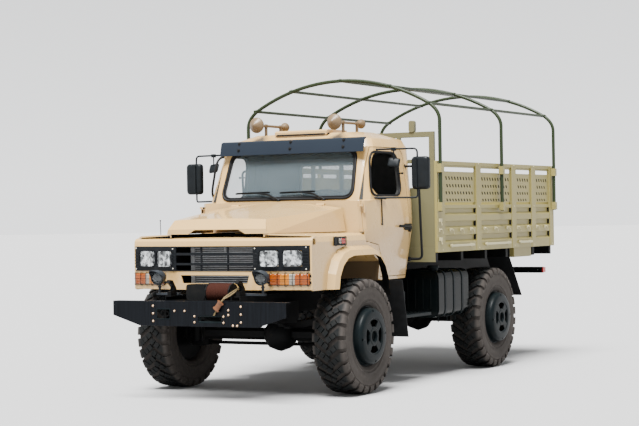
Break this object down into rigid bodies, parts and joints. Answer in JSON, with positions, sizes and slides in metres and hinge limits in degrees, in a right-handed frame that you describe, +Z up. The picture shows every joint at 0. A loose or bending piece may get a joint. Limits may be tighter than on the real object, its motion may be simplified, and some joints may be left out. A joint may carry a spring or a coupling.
{
  "type": "military cargo truck",
  "caption": "Bonneted four-wheel-drive military cargo truck with a hollow cab, winch bumper, slatted drop-gate body and open canopy bows.",
  "frame": {"origin": "on the ground under the middle of the truck's bounding box", "axes": "+X to the truck's left, -Y forward, +Z up"},
  "size_m": [2.89, 6.1875, 3.1961],
  "materials": {
    "chassis_paint": "satin black",
    "rope": "woven rope",
    "spot_lamp": "satin",
    "cab_paint": "gloss sand",
    "body_paint": "satin khaki",
    "bow_paint": "satin dark green",
    "visor_paint": "satin slate",
    "wheel_paint": "satin black",
    "axle_paint": "painted casting",
    "exhaust_steel": "dull",
    "engine_iron": "painted casting",
    "radiator_core": "matt black",
    "grille_plastic": "matt black",
    "lamp_glass": "ribbed lens",
    "amber_lens": "amber lens",
    "glass": "clear",
    "trim": "grained",
    "seat_cover": "matt",
    "mirror_housing": "grained",
    "flap_rubber": "matt",
    "tyre": "matt"
  },
  "bodies": {
    "chassis": {"frame": "chassis_paint", "front_bumper": "chassis_paint", "winch": "chassis_paint", "winch_rope": "rope", "spot_lamps": "spot_lamp", "front_panel": "cab_paint", "grille": "grille_plastic", "headlamps": "lamp_glass", "turn_lamps": "amber_lens", "wings": "cab_paint", "cab_shell": "cab_paint", "cab_glass": "glass", "dashboard": "trim", "seats": "seat_cover", "sun_visor": "visor_paint", "roof_horns": "cab_paint", "grab_rails": "cab_paint", "wipers": "trim", "cab_steps": "chassis_paint", "fuel_tank": "chassis_paint", "exhaust": "exhaust_steel", "mudguards": "flap_rubber", "rear_lamp_bar": "chassis_paint", "cargo_floor": "chassis_paint", "cargo_sides": "body_paint", "headboard": "body_paint", "canopy_bows": "bow_paint", "tool_box": "body_paint", "front_axle": "axle_paint", "rear_axle": "axle_paint", "leaf_springs": "axle_paint", "driveline": "axle_paint", "engine": "engine_iron", "radiator": "radiator_core"},
    "left_steering": {"knuckle_left": "axle_paint"},
    "right_steering": {"knuckle_right": "axle_paint"},
    "steering_link": {"tie_rod": "axle_paint"},
    "front_left_wheel": {"tyre_front_left": "tyre", "wheel_front_left": "wheel_paint"},
    "front_right_wheel": {"tyre_front_right": "tyre", "wheel_front_right": "wheel_paint"},
    "rear_left_wheel": {"tyre_rear_left": "tyre", "wheel_rear_left": "wheel_paint"},
    "rear_right_wheel": {"tyre_rear_right": "tyre", "wheel_rear_right": "wheel_paint"},
    "left_door": {"door_left": "cab_paint", "mirror_left": "mirror_housing"},
    "right_door": {"door_right": "cab_paint", "mirror_right": "mirror_housing"},
    "bonnet": {"hood": "cab_paint"},
    "hatch": {"roof_hatch": "cab_paint"},
    "rear_gate": {"tailgate": "body_paint"}
  },
  "joints": [
    {"name": "left_steer", "type": "hinge", "parent": "chassis", "child": "left_steering", "pos_m": [0.805, -1.854, 0.56], "axis": [0, 0, 1], "range_deg": [-28, 28]},
    {"name": "right_steer", "type": "hinge", "parent": "chassis", "child": "right_steering", "pos_m": [-0.805, -1.854, 0.56], "axis": [0, 0, 1], "range_deg": [-28, 28]},
    {"name": "link_swing", "type": "hinge", "parent": "left_steering", "child": "steering_link", "pos_m": [0.805, -1.619, 0.444], "axis": [0, 0, 1], "range_deg": [-28, 28]},
    {"name": "front_left_spin", "type": "hinge", "parent": "left_steering", "child": "front_left_wheel", "pos_m": [1.004, -1.854, 0.56], "axis": [1, 0, 0], "continuous": true},
    {"name": "front_right_spin", "type": "hinge", "parent": "right_steering", "child": "front_right_wheel", "pos_m": [-1.004, -1.854, 0.56], "axis": [1, 0, 0], "continuous": true},
    {"name": "rear_left_spin", "type": "hinge", "parent": "chassis", "child": "rear_left_wheel", "pos_m": [1.004, 1.246, 0.56], "axis": [1, 0, 0], "continuous": true},
    {"name": "rear_right_spin", "type": "hinge", "parent": "chassis", "child": "rear_right_wheel", "pos_m": [-1.004, 1.246, 0.56], "axis": [1, 0, 0], "continuous": true},
    {"name": "left_door_hinge", "type": "hinge", "parent": "chassis", "child": "left_door", "pos_m": [0.955, -1.507, 1.69], "axis": [0, 0, -1], "range_deg": [0, 65]},
    {"name": "right_door_hinge", "type": "hinge", "parent": "chassis", "child": "right_door", "pos_m": [-0.955, -1.507, 1.69], "axis": [0, 0, 1], "range_deg": [0, 65]},
    {"name": "bonnet_hinge", "type": "hinge", "parent": "chassis", "child": "bonnet", "pos_m": [0, -1.574, 1.832], "axis": [-1, 0, 0], "range_deg": [0, 45]},
    {"name": "hatch_hinge", "type": "hinge", "parent": "chassis", "child": "hatch", "pos_m": [0, -0.6343, 2.592], "axis": [-1, 0, 0], "range_deg": [0, 60]},
    {"name": "gate_hinge", "type": "hinge", "parent": "chassis", "child": "rear_gate", "pos_m": [0, 3.058, 1.35], "axis": [-1, 0, 0], "range_deg": [0, 95]}
  ],
  "couplings": [
    {"joint": "right_steer", "follows": "left_steer", "ratio": 1},
    {"joint": "link_swing", "follows": "left_steer", "ratio": -1}
  ]
}
